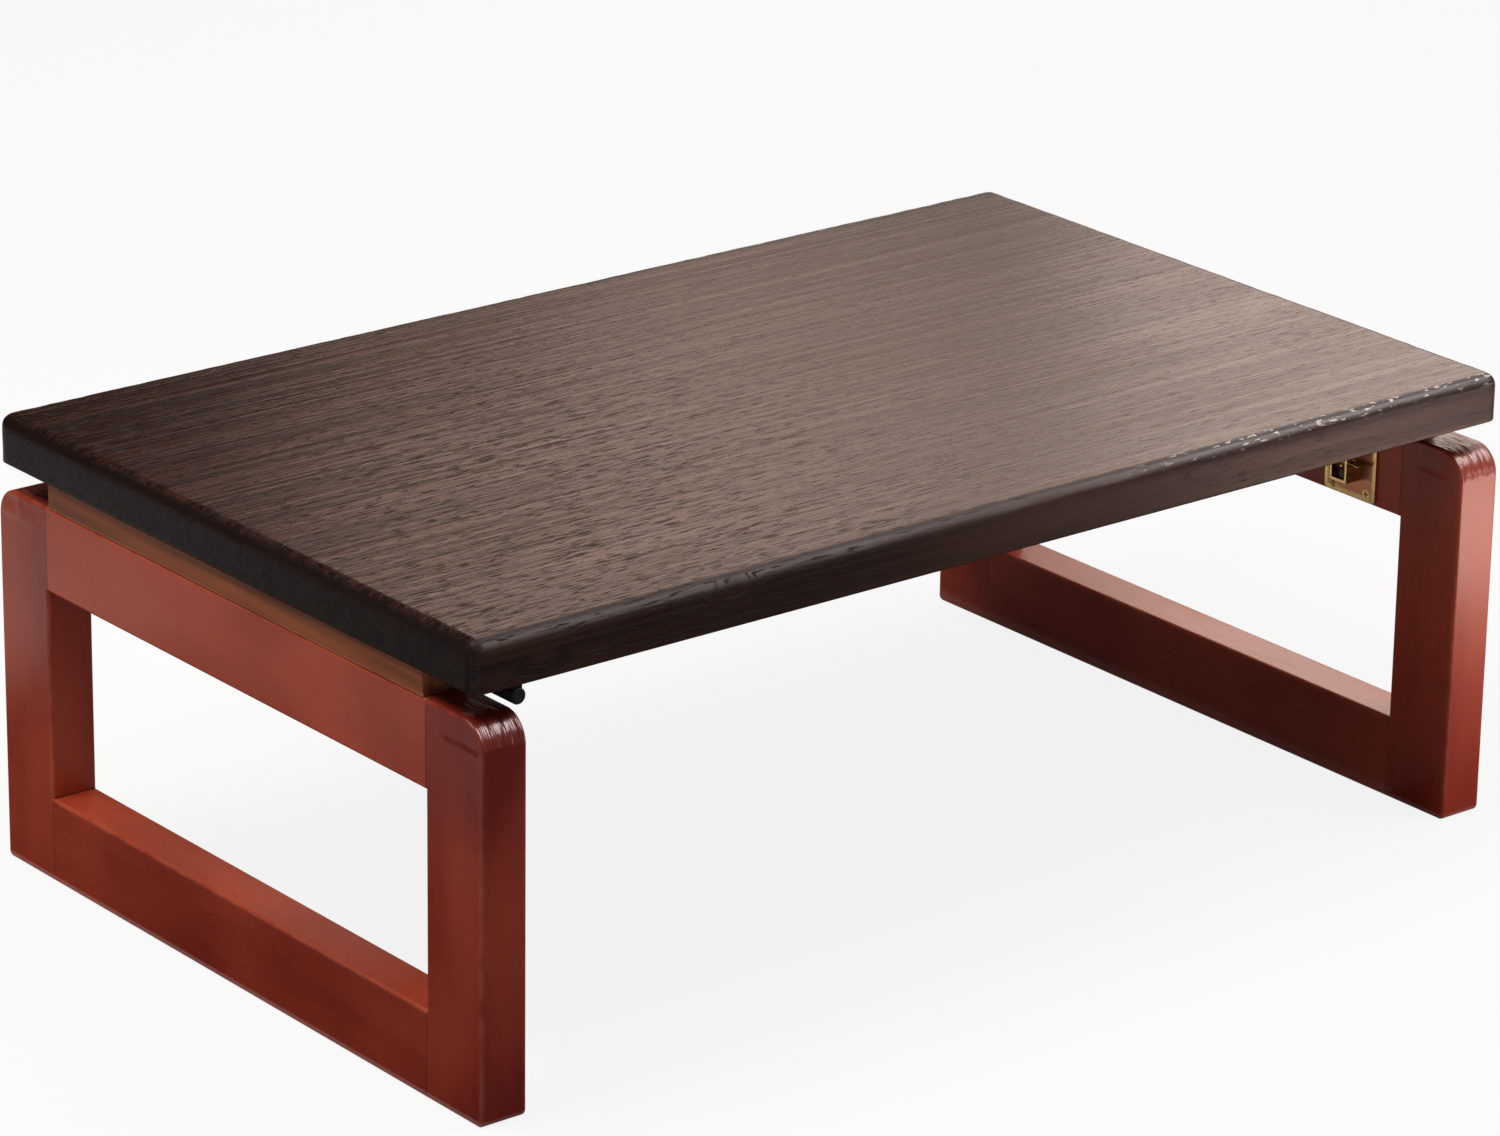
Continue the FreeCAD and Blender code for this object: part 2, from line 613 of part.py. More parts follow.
def coil_path(radius, pitch, turns, floor):
    """A helix up from floor as one unbroken run of arcs, a pair of tangent arcs to each quarter turn."""
    climb = pitch / (2 * math.pi)
    edges = []
    for quarter in range(4 * turns):
        points, headings = [], []
        for step in (quarter, quarter + 1):
            angle = step * math.pi / 2
            height = floor + climb * angle
            points.append(Vector(radius * math.cos(angle), radius * math.sin(angle), height))
            headings.append(Vector(-radius * math.sin(angle), radius * math.cos(angle), climb).normalize())
        chord = points[1] - points[0]
        bend = 2 * (1 - headings[0].dot(headings[1]))
        ahead = chord.dot(headings[0] + headings[1])
        reach = (math.sqrt(ahead * ahead + bend * chord.dot(chord)) - ahead) / bend
        meeting = (points[0] + headings[0] * reach + points[1] - headings[1] * reach) * 0.5
        edges.append(arc(points[0], headings[0], meeting).toShape())
        edges.append(arc(points[1], headings[1] * -1, meeting).toShape())
    return Part.Wire(Part.__sortEdges__(edges))


def make_lock_spring(side, hand):
    name = f"{end_label(side, hand)}_lock_spring"
    wire = mm("spring_wire")
    radius = mm("spring_diameter / 2") - wire / 2
    pitch = (mm("spring_height") - wire) / SPRING_TURNS
    floor = mm("spring_floor") + wire / 2
    path = coil_path(radius, pitch, SPRING_TURNS, floor)
    climb = pitch / (2 * math.pi)
    ring = Part.Wire(Part.Circle(Vector(radius, 0, floor), Vector(0, radius, climb), wire / 2).toShape())
    spring = doc.addObject("Part::Feature", name)
    spring.Shape = path.makePipeShell([ring], True, False)
    print(f"{name}: least gap between turns {pitch - wire:.2f}")
    seat(spring, name, side, "pin_out", f"{hand} * bracket_offset", "pin_height")


def make_end(side, short_screw, long_screw):
    make_batten(side)
    spots = [("0", spot, "0") for spot in batten_screw_spots()]
    down, inboard = Vector(0, 0, -1), AXES["x"]
    screw_group(f"{side}_batten_screws", side, long_screw, "leg_centre", "0", "leg_height", down, spots)
    make_buffer(side)
    outline = make_leg_outline(side)
    make_posts(side, outline)
    make_rails(side, outline)
    for hand in (-1, 1):
        corner = end_label(side, hand)
        at_pin = ("pin_out", f"{hand} * bracket_offset", "pin_height")
        make_leg_plate(side, hand)
        make_top_plate(side, hand)
        make_hinge_pin(side, hand)
        make_lock_slide(side, hand)
        make_lock_spring(side, hand)
        screw_group(f"{corner}_leg_screws", side, short_screw, *at_pin, inboard, leg_plate_screws())
        screw_group(f"{corner}_top_screws", side, short_screw, *at_pin, down, top_plate_screws())


def check_and_write():
    doc.recompute()
    for thing in doc.Objects:
        if "Invalid" in thing.State or "Error" in thing.State:
            raise RuntimeError(f"{thing.Name} failed: {thing.State}")
    os.makedirs("parts", exist_ok=True)
    for piece in subparts:
        shape = piece.Shape
        if shape.isNull() or not shape.isValid() or not shape.Solids:
            raise RuntimeError(f"{piece.Label} has no sound shape")
        shape.exportStep(f"parts/{piece.Label}.step")
        print(f"{piece.Label}: {len(shape.Solids)} solid(s), {shape.Volume:.1f} mm3")
    print(f"{len(subparts)} sub-parts")


make_tabletop()
short = bracket_screw("bracket_screw", "screw_length")
long = bracket_screw("batten_screw", "batten_screw_length")
for side in TURN:
    make_end(side, short, long)
check_and_write()
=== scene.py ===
# %% [markdown]
# A low folding table: a dark, scorched and brushed wooden top on two legs of red lacquered wood. The
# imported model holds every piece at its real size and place, so this script only dresses it. Most pieces
# keep their shape and get a finish. The top is rebuilt, because brushing leaves a relief that a flat
# board doesn't have.

# %% Load the table
import math
import bmesh
import bpy
from mathutils import Matrix, Vector, noise


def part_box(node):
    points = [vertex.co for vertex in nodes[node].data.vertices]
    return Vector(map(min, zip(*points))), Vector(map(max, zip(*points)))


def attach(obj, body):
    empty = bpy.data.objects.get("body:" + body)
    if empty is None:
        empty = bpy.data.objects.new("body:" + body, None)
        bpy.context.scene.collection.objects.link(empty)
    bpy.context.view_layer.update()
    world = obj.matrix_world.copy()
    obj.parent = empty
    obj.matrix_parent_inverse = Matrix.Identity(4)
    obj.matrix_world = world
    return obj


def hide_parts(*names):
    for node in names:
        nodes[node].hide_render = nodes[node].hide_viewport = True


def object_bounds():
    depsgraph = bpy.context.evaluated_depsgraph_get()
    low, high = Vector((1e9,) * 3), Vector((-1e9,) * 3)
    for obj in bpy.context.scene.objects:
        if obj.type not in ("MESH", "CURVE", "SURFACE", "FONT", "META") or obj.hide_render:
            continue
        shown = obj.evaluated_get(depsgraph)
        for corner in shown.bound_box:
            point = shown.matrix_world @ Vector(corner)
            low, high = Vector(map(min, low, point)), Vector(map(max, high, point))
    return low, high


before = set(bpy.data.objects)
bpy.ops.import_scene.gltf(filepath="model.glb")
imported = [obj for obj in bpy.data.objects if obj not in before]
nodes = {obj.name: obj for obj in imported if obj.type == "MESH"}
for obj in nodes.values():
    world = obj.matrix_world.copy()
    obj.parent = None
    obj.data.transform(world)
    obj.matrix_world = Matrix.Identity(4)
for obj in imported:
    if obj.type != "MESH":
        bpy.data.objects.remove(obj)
cad_low, cad_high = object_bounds()
print("table", [round(size, 3) for size in cad_high - cad_low], "with", len(nodes), "pieces")

# %% [markdown]
# The camera stands where the photographer stood: to the left of the table, a little above it and well
# back, with a long lens. An azimuth, an elevation and a slight roll say how it is held. Its three axes
# are worked out from those angles, because a matrix of bare numbers would tell a reader nothing.

# %% Camera
CAMERA_PLACE = Vector((-2.3218, -2.8712, 1.5521))
CAMERA_AZIMUTH = math.radians(-38.893)
CAMERA_ELEVATION = math.radians(20.401)
CAMERA_ROLL = math.radians(0.869)
SENSOR_WIDTH = 36
LENS = 151.11
FARTHEST_SEEN = 100


def make_camera():
    level = math.cos(CAMERA_ELEVATION)
    back = Vector((
        math.sin(CAMERA_AZIMUTH) * level,
        -math.cos(CAMERA_AZIMUTH) * level,
        math.sin(CAMERA_ELEVATION),
    ))
    right = Vector((0, 0, 1)).cross(back).normalized()
    upright = Matrix((right, back.cross(right), back)).transposed()
    held = upright @ Matrix.Rotation(CAMERA_ROLL, 3, "Z")
    camera = bpy.data.objects.new("camera", bpy.data.cameras.new("camera"))
    camera.matrix_world = Matrix.LocRotScale(CAMERA_PLACE, held, None)
    camera.data.sensor_width = SENSOR_WIDTH
    camera.data.lens = LENS
    camera.data.clip_end = FARTHEST_SEEN
    bpy.context.scene.collection.objects.link(camera)
    return camera


bpy.context.scene.camera = make_camera()
bpy.context.scene.view_settings.view_transform = "Standard"
distance = (CAMERA_PLACE - (cad_low + cad_high) / 2).length
print("camera", round(distance, 2), "m from the middle of the table")

# %% [markdown]
# Grain, pores and polish are patterns worked out from a point's place in the piece, so they need
# arithmetic. In Blender that arithmetic is made of Math nodes, which are slow to read one by one. This
# small class wraps a socket and lets Python's own signs add the nodes. Anything else comes from its one
# method `node`.

# %% Shader arithmetic
class Wire:
    """What one socket carries. Sums and products of wires and numbers add Math nodes."""

    def __init__(self, tree, socket=None):
        self.tree = tree
        self.socket = socket

    def node(self, kind, settings=None, inputs=None, output=0):
        """Add a node: its settings first, then a number or a wire for each socket that is named."""
        made = self.tree.nodes.new("ShaderNode" + kind)
        for setting, choice in (settings or {}).items():
            setattr(made, setting, choice)
        for name, given in (inputs or {}).items():
            if isinstance(given, Wire):
                self.tree.links.new(given.socket, made.inputs[name])
            else:
                made.inputs[name].default_value = given
        return Wire(self.tree, made.outputs[output] if made.outputs else None)

    def maths(self, operation, *values):
        return self.node("Math", {"operation": operation}, dict(enumerate(values)))

    def __add__(self, other):
        return self.maths("ADD", self, other)

    def __sub__(self, other):
        return self.maths("SUBTRACT", self, other)

    def __rsub__(self, other):
        return self.maths("SUBTRACT", other, self)

    def __mul__(self, other):
        return self.maths("MULTIPLY", self, other)

    def __truediv__(self, other):
        return self.maths("DIVIDE", self, other)

    def __pow__(self, other):
        return self.maths("POWER", self, other)

    def __abs__(self):
        return self.maths("ABSOLUTE", self)

    __radd__ = __add__
    __rmul__ = __mul__

    def least(self, other):
        return self.maths("MINIMUM", self, other)

    def most(self, other):
        return self.maths("MAXIMUM", self, other)

    def rise(self, low, high):
        """0 below low, 1 above high, a smooth slope between. With low above high it falls instead."""
        inputs = {"Value": self, "From Min": low, "From Max": high}
        return self.node("MapRange", {"interpolation_type": "SMOOTHSTEP"}, inputs)

    def stretched(self, x, y, z):
        """A place with each axis multiplied, so that a pattern comes out long in one direction."""
        return self.node("VectorMath", {"operation": "MULTIPLY"}, {0: self, 1: (x, y, z)})

    def scaled(self, by):
        return self.stretched(by, by, by)

    def shifted(self, by):
        return self.node("VectorMath", {"operation": "ADD"}, {0: self, 1: by})

    def parts(self):
        split = self.node("SeparateXYZ", inputs={0: self}).socket.node
        return [Wire(self.tree, socket) for socket in split.outputs]

    def cloud(self, detail=2.0, roughness=0.5):
        """Soft noise from 0 to 1 at this place, about one lump to each unit."""
        inputs = {"Vector": self, "Scale": 1.0, "Detail": detail, "Roughness": roughness}
        return self.node("TexNoise", inputs=inputs)

    def blend(self, at_zero, at_one):
        """A colour between two others, by this mask."""
        inputs = {0: self, 6: opaque(at_zero), 7: opaque(at_one)}
        return self.node("Mix", {"data_type": "RGBA", "clamp_factor": True}, inputs, output=2)


def opaque(colour):
    return colour if isinstance(colour, Wire) else (*colour, 1.0)


def joined(tree, x, y, z):
    """One place from three numbers or wires."""
    return Wire(tree).node("CombineXYZ", inputs={0: x, 1: y, 2: z})


def light_path(start):
    """Two masks for a ray: is it the camera's own, directly or through glass, and is it mirrored?"""
    rays = start.node("LightPath").socket.node.outputs
    seen = Wire(start.tree, rays["Is Camera Ray"]).most(Wire(start.tree, rays["Is Transmission Ray"]))
    return seen, Wire(start.tree, rays["Is Glossy Ray"])


def new_material(name):
    """An empty material, and the wire that carries each point's place in the piece, in metres."""
    material = bpy.data.materials.new(name)
    material.use_nodes = True
    material.node_tree.nodes.clear()
    return material, Wire(material.node_tree).node("TexCoord", output="Object")


def give_surface(material, height, bump, **inputs):
    """Close a material with one Principled shader. A height of one stands out by bump, in metres."""
    start = Wire(material.node_tree)
    normal = start.node("Bump", inputs={"Strength": 1.0, "Distance": bump, "Height": height})
    named = {name.replace("_", " "): given for name, given in inputs.items()}
    shader = start.node("BsdfPrincipled", inputs={**named, "Normal": normal})
    start.node("OutputMaterial", inputs={"Surface": shader})
    return material


print("shader arithmetic is ready")

# %% [markdown]
# The table stands on a plain pale floor that runs past the edge of every view. To light a floor to pure
# white would put too much light on the table. So part of its white is its own glow, which the camera sees
# in full and mirror-like rays see weakly. The rest is an ordinary matt floor, and keeps the table's soft
# shadow.

# %% Floor
FLOOR_SPAN = 40
FLOOR_GLOW_SHARE = 0.87
FLOOR_GLOW_MIRRORED = 0.20
FLOOR_COLOUR = (0.60, 0.60, 0.60, 1.0)
WHITE = (1.0, 1.0, 1.0, 1.0)


def make_floor():
    mesh = bpy.data.meshes.new("floor")
    shape = bmesh.new()
    bmesh.ops.create_grid(shape, x_segments=2, y_segments=2, size=FLOOR_SPAN / 2)
    shape.to_mesh(mesh)
    shape.free()
    floor = bpy.data.objects.new("floor", mesh)
    bpy.context.scene.collection.objects.link(floor)
    material, place = new_material("pale_floor")
    seen, mirrored = light_path(place)
    share = (seen * FLOOR_GLOW_SHARE).most(mirrored * FLOOR_GLOW_MIRRORED)
    matt = place.node("BsdfDiffuse", inputs={"Color": FLOOR_COLOUR})
    glow = place.node("Emission", inputs={"Color": WHITE, "Strength": 1.0})
    surface = place.node("MixShader", inputs={0: share, 1: matt, 2: glow})
    place.node("OutputMaterial", inputs={"Surface": surface})
    mesh.materials.append(material)


make_floor()
print("floor", FLOOR_SPAN, "m square")

# %% [markdown]
# The light is a plain studio. The camera sees a white backdrop, but the light that comes from all round
# is dim, so the shape comes from six soft panels: two above, one at the front right, two behind that the
# top mirrors as its sheen, and a small reflector low in front of the right leg.
#
# Cards do the rest. They cast no light and no shadow: only mirror-like rays meet them. The black or nearly
# black ones, behind the table and on the floor, let wood stay dark that would mirror the studio. The
# bright ones, overhead and beside the right leg, put highlights on what rounds over towards the camera.

# %% Lights
SURROUND_LIGHT = 0.25
BACKDROP_LIGHT = 0.94
TABLE_MIDDLE = Vector((0, 0, cad_high.z))
RIGHT_LEG_FRONT = Vector((0.38, -0.25, 0.14))
ON_FLOOR = 0.004
OVERHEAD = 2.0
BEHIND = 2.0
BESIDE = -0.55
CARD_TINT = (1.0, 0.93, 0.92, 1.0)
PANELS = {
    "overhead_box": {
        "place": (0.0, 0.0, 2.3), "towards": TABLE_MIDDLE, "size": (2.6, 1.8), "power": 20,
        "colour": (1, 0.97, 0.94), "mirrored": False},
    "key_box": {
        "place": (0.98, -0.75, 2.0), "towards": TABLE_MIDDLE, "size": (0.6, 0.5), "power": 14,
        "colour": (1, 0.92, 0.88)},
    "left_box": {
        "place": (-1.15, 0.2, 2.4), "towards": TABLE_MIDDLE, "size": (1.0, 1.0), "power": 50,
        "colour": (1, 0.95, 0.90)},
    "back_wall": {
        "place": (1.64, 2.35, 1.77), "towards": TABLE_MIDDLE, "size": (0.95, 1.15), "power": 11.8,
        "colour": (1, 0.70, 0.56)},
    "back_window": {
        "place": (3.12, 2.1, 1.62), "towards": TABLE_MIDDLE, "size": (1.5, 1.2), "power": 22.5,
        "colour": (1, 0.77, 0.65)},
    "front_reflector": {
        "place": (0.66, -0.55, 0.055), "towards": RIGHT_LEG_FRONT, "size": (0.3, 0.11), "power": 1.3,
        "colour": (1, 0.66, 0.56)},
}
CARDS = {
    "low_back_card": {"low": (-2.1, BEHIND, 0.0), "high": (1.36, BEHIND, 1.15), "glow": 0.0},
    "high_back_card": {"low": (-2.1, BEHIND, 1.15), "high": (1.06, BEHIND, 3.0), "glow": 0.0},
    "left_card": {"low": (-0.68, -0.5, ON_FLOOR), "high": (-0.36, 0.5, ON_FLOOR), "glow": 0.0},
    "end_card": {"low": (-1.60, -0.20, ON_FLOOR), "high": (-0.80, 1.60, ON_FLOOR), "glow": 0.0},
    "front_card": {"low": (-0.6, -1.6, ON_FLOOR), "high": (0.9, -0.2, ON_FLOOR), "glow": 0.0},
    "inner_card": {"low": (-0.01, -0.20, ON_FLOOR), "high": (0.36, 0.60, ON_FLOOR), "glow": 0.07},
    "left_shoulder_card": {"low": (0.84, -2.20, OVERHEAD), "high": (1.44, -0.30, OVERHEAD), "glow": 24.0},
    "right_shoulder_card": {"low": (1.66, -2.20, OVERHEAD), "high": (2.30, -0.30, OVERHEAD), "glow": 24.0},
    "arris_card": {"low": (1.45, -0.30, OVERHEAD), "high": (2.60, 1.60, OVERHEAD), "glow": 4.0},
    "side_card": {"low": (0.54, BESIDE, 0.20), "high": (0.72, BESIDE, 0.30), "glow": 9.0},
}


def make_surround():
    world = bpy.data.worlds.new("surround")
    bpy.context.scene.world = world
    world.use_nodes = True
    world.node_tree.nodes.clear()
    start = Wire(world.node_tree)
    seen, _ = light_path(start)
    strength = seen * (BACKDROP_LIGHT - SURROUND_LIGHT) + SURROUND_LIGHT
    background = start.node("Background", inputs={"Color": WHITE, "Strength": strength})
    start.node("OutputWorld", inputs={"Surface": background})


def make_panel(name, place, towards, size, power, colour, mirrored=True):
    light = bpy.data.lights.new(name, "AREA")
    light.shape = "RECTANGLE"
    light.size, light.size_y = size
    light.energy = power
    light.color = colour
    panel = bpy.data.objects.new(name, light)
    panel.location = place
    panel.rotation_euler = (towards - panel.location).to_track_quat("-Z", "Y").to_euler()
    panel.visible_camera = False
    panel.visible_glossy = mirrored
    bpy.context.scene.collection.objects.link(panel)


def make_card(name, low, high, glow):
    """A card between two opposite corners, black or glowing. Only mirror-like rays meet it."""
    mesh = bpy.data.meshes.new(name)
    shape = bmesh.new()
    low, high = Vector(low), Vector(high)
    beside = Vector((high.x, low.y, low.z))
    corners = [low, beside, high, low + high - beside]
    shape.faces.new([shape.verts.new(corner) for corner in corners])
    shape.to_mesh(mesh)
    shape.free()
    card = bpy.data.objects.new(name, mesh)
    card.visible_camera = False
    card.visible_diffuse = False
    card.visible_transmission = False
    card.visible_shadow = False
    bpy.context.scene.collection.objects.link(card)
    material, place = new_material(name)
    shine = place.node("Emission", inputs={"Color": CARD_TINT, "Strength": glow})
    place.node("OutputMaterial", inputs={"Surface": shine})
    mesh.materials.append(material)


make_surround()
for name, panel in PANELS.items():
    make_panel(name, **panel)
for name, card in CARDS.items():
    make_card(name, **card)
print("lights:", ", ".join(PANELS))
print("cards:", ", ".join(CARDS))

# %% [markdown]
# The top is scorched until it is nearly black and then wire-brushed. The brush takes the soft early wood
# out and leaves ridges of hard late wood along the length, so the board has a relief that can be felt.
# Small pores stay open as short dark dashes, deeper towards the left end, where the board is coarser. The
# pattern is noise that is squeezed across the grain and left long with it.
#
# Three places differ. The long edges are brushed browner and the ends stay sooty. Along the upper edge of
# the right half, small nicks dent the edge, and their pale colour is partly bare wood and partly a painted
# glint where light catches that edge. Three small knots in the front edge push the grain aside.

# %% Scorched wood
SOOT = (0.0080, 0.0035, 0.0028)
SCORCHED_BROWN = (0.027, 0.0105, 0.0075)
WARM_RIDGE = (0.055, 0.021, 0.0130)
BRUSHED_EDGE = (0.050, 0.0210, 0.0165)
# Pale colour of the nicks: partly bare wood, partly a painted glint on the right half of the edge.
BARE_WOOD_AND_GLINT = (0.620, 0.540, 0.460)
KNOTS = [(-0.352, -0.244, 0.273), (-0.215, -0.244, 0.286), (0.150, -0.244, 0.283)]
KNOT_REACH = (0.024, 0.020, 0.009)
KNOT_PUSH = 0.007
WANDER_SCALE = (3.0, 9.0, 9.0)
WANDER_REACH = 0.005
RIDGE_SCALE = (1.5, 190.0, 190.0)
FIBRE_SCALE = (6.0, 700.0, 700.0)
DASH_SCALE = (75.0, 620.0, 620.0)
PATCH_SCALE = (5.0, 14.0, 30.0)
NICK_AND_GLINT_SCALE = (130.0, 420.0, 420.0)
NICKS_AND_GLINTS_START, NICKS_AND_GLINTS_FULL = 0.06, 0.22
COARSE_START, COARSE_FULL = 0.10, -0.34
WOOD_BUMP = 0.00030
TOP_LOW, TOP_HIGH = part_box("tabletop")
UPPER_ARRIS = 0.008


def make_scorched_wood():
    material, place = new_material("scorched_brushed_wood")
    x, y, z = place.parts()
    bulge = 0.0
    for knot in KNOTS:
        away = [(along - middle) / reach for along, middle, reach in zip((x, y, z), knot, KNOT_REACH)]
        distance = away[0] * away[0] + away[1] * away[1] + away[2] * away[2]
        bulge = (1.0 - distance).most(0.0) + bulge
    wander = place.stretched(*WANDER_SCALE).cloud(1.0) - 0.5
    shift = wander * WANDER_REACH + bulge * KNOT_PUSH
    grain = joined(place.tree, x, y + shift, z + shift)
    ridges = grain.stretched(*RIDGE_SCALE).cloud(2.0, 0.6).rise(0.36, 0.66)
    fibres = grain.stretched(*FIBRE_SCALE).cloud(2.0, 0.6)
    dashes = grain.stretched(*DASH_SCALE).cloud(1.0).rise(0.57, 0.70)
    patches = place.stretched(*PATCH_SCALE).cloud(2.0)
    coarse = x.rise(COARSE_START, COARSE_FULL) * 0.75 + 0.25
    at_edge = (z - TOP_HIGH.z).rise(-0.9 * UPPER_ARRIS, -0.2 * UPPER_ARRIS)
    at_edge = at_edge * (abs(y) - TOP_HIGH.y).rise(-1.3 * UPPER_ARRIS, -0.7 * UPPER_ARRIS)
    # Nicks dent the right half of the upper edge; their pale colour there is partly a painted glint.
    nicks_and_glints = place.stretched(*NICK_AND_GLINT_SCALE).cloud(2.0, 0.6).rise(0.58, 0.66)
    nicks_and_glints = nicks_and_glints * at_edge * x.rise(NICKS_AND_GLINTS_START, NICKS_AND_GLINTS_FULL)
    end_grain = (abs(x) - TOP_HIGH.x).rise(-0.6 * UPPER_ARRIS, -0.2 * UPPER_ARRIS)
    long_edge = (abs(y) - TOP_HIGH.y).rise(-0.5 * UPPER_ARRIS, -0.1 * UPPER_ARRIS)
    # Painted light on the ridge tops and painted shade in the grooves, over the wood's own tone.
    ridge_light_and_tone = (ridges * 0.55 + fibres * 0.35 + patches * 0.35 - 0.25).most(0.0)
    brown = ridge_light_and_tone.rise(0.0, 0.75).blend(SOOT, SCORCHED_BROWN)
    warm = (patches.rise(0.52, 0.80) * ridges * 0.7).blend(brown, WARM_RIDGE)
    pores = dashes * coarse
    edge_tone = long_edge * ((ridges - 0.5) * 0.20 + (patches - 0.5) * 0.4 + 0.30)
    colour = edge_tone.blend(warm, BRUSHED_EDGE)
    colour = (pores * 0.8).blend(colour, SOOT)
    colour = (end_grain * 0.8).blend(colour, SOOT)
    # Painted glint: the nicks are coloured pale where the edge catches the light.
    colour = (nicks_and_glints * 0.8).blend(colour, BARE_WOOD_AND_GLINT)
    relief_share = (coarse + 0.5) * (1.0 - end_grain * 0.8) * (1.0 - long_edge * 0.65)
    height = ((ridges * 0.30 + fibres * 0.45) - pores * 0.50) * relief_share - nicks_and_glints * 0.4
    roughness = 0.26 - ridges * 0.04 + pores * 0.42 + (fibres - 0.4) * 0.20 + (patches - 0.5) * 0.12
    roughness = roughness + at_edge * (0.25 - x.rise(0.0, 0.25) * 0.20)
    roughness = roughness + long_edge * 0.10 + end_grain * 0.10
    return give_surface(
        material, height, WOOD_BUMP, Base_Color=colour, Roughness=roughness, Specular_IOR_Level=0.15)


scorched_wood = make_scorched_wood()
print("scorched wood with", len(KNOTS), "small knots in its front edge")

# %% [markdown]
# The board itself could be a subdivided block with a bevel, but a bevel can't round the corners in plan
# and the edges in section by different radii. So its points come from a lattice. Each one knows which
# straight part it belongs to and how far it reaches into the rounding, and the rounding shrinks as the
# edge curves in.

# %% Tabletop: the smooth board
PLAN_RADIUS = 0.009
LOWER_ARRIS = 0.001
STEP_ALONG = 0.0055
STEP_ACROSS = 0.0024
CORNER_STEPS = 7
ARRIS_STEPS = 8


def stations(half, step):
    """Places along one side as (straight part, reach into the rounded corner)."""
    straight = half - PLAN_RADIUS
    count = round(2 * straight / step)
    middle = [(straight * (2 * number / count - 1), 0.0) for number in range(1, count)]
    corner = [(straight, number / CORNER_STEPS) for number in range(CORNER_STEPS + 1)]
    return [(-core, -reach) for core, reach in reversed(corner)] + middle + corner


def levels():
    """Heights up the edge of the board, each with how far the edge has curved in there."""
    turns = [math.pi / 2 * number / ARRIS_STEPS for number in range(ARRIS_STEPS + 1)]
    foot, head = TOP_LOW.z + LOWER_ARRIS, TOP_HIGH.z - UPPER_ARRIS
    lower = [(foot - LOWER_ARRIS * math.cos(a), LOWER_ARRIS * (1 - math.sin(a))) for a in turns]
    upper = [(head + UPPER_ARRIS * math.sin(a), UPPER_ARRIS * (1 - math.cos(a))) for a in turns]
    count = round((head - foot) / STEP_ACROSS)
    straight = [(foot + (head - foot) * number / count, 0.0) for number in range(1, count)]
    return lower + straight + upper


def rounded_place(along, across, level):
    height, inset = level
    reach_x, reach_y = along[1], across[1]
    if reach_x and reach_y:
        squeeze = max(abs(reach_x), abs(reach_y)) / math.hypot(reach_x, reach_y)
        reach_x, reach_y = reach_x * squeeze, reach_y * squeeze
    radius = PLAN_RADIUS - inset
    return Vector((along[0] + reach_x * radius, across[0] + reach_y * radius, height))


def make_board():
    lengthways = stations(TOP_HIGH.x, STEP_ALONG)
    crossways = stations(TOP_HIGH.y, STEP_ACROSS)
    upward = levels()
    last_x, last_y, last_z = len(lengthways) - 1, len(crossways) - 1, len(upward) - 1
    shape = bmesh.new()
    made = {}

    def point(i, j, k):
        if (i, j, k) not in made:
            made[i, j, k] = shape.verts.new(rounded_place(lengthways[i], crossways[j], upward[k]))
        return made[i, j, k]

    for i in range(last_x):
        for j in range(last_y):
            corners = [(i, j), (i + 1, j), (i + 1, j + 1), (i, j + 1)]
            shape.faces.new([point(a, b, last_z) for a, b in corners])
    ring = [(i, 0) for i in range(last_x)] + [(last_x, j) for j in range(last_y)]
    ring += [(i, last_y) for i in range(last_x, 0, -1)] + [(0, j) for j in range(last_y, 0, -1)]
    for start, end in zip(ring, ring[1:] + ring[:1]):
        for k in range(last_z):
            low, high = [point(*start, k), point(*end, k)], [point(*end, k + 1), point(*start, k + 1)]
            shape.faces.new(low + high)
    for face in shape.faces:
        face.smooth = True
    shape.faces.new([point(*spot, 0) for spot in reversed(ring)])
    return shape


board = make_board()
print("board of", len(board.verts), "points,", len(board.faces), "faces")

# %% [markdown]
# Now the relief. Every point sinks a little where the noise says that soft wood was, and never rises, so
# the board stays inside its real size. The upper edges lose more, in short runs, because the brush and
# then hands wear them most. The underside is left alone: battens and brackets lie flat against it.

# %% Tabletop: brushed relief
GROOVE_DEPTH = 0.00012
CHIP_DEPTH = 0.00055
CHIP_REACH = 1.2 * UPPER_ARRIS
RELIEF_FOOT = TOP_LOW.z + 2 * LOWER_ARRIS
DRIFT_REACH = 0.002
DRIFT_PITCH = (3, 6, 6)
RIDGE_PITCH = (1.2, 75, 75)
FINE_PITCH = (2.5, 150, 150)
CHIP_PITCH = (95, 95, 200)
WAVE_PITCH = (22, 22, 60)


def lumps(place, pitch):
    """Noise from -1 to 1 at a place, with so many lumps to a metre along each axis."""
    return noise.noise(Vector([part * count for part, count in zip(place, pitch)]))


def relief(place):
    """How deep the brush went at a place on the board."""
    drift = DRIFT_REACH * lumps(place, DRIFT_PITCH)
    grain = (place.x, place.y + drift, place.z + drift)
    ridged = 0.5 + 0.9 * lumps(grain, RIDGE_PITCH) + 0.5 * lumps(grain, FINE_PITCH)
    groove = GROOVE_DEPTH * min(1.0, max(0.0, ridged))
    from_top = TOP_HIGH.z - place.z
    from_side = min(TOP_HIGH.x - abs(place.x), TOP_HIGH.y - abs(place.y))
    edge = max(0.0, 1 - math.hypot(from_top, from_side) / CHIP_REACH)
    chipped = 0.35 + lumps(place, CHIP_PITCH) + 0.6 * lumps(place, WAVE_PITCH)
    return groove + CHIP_DEPTH * edge * max(0.0, chipped)


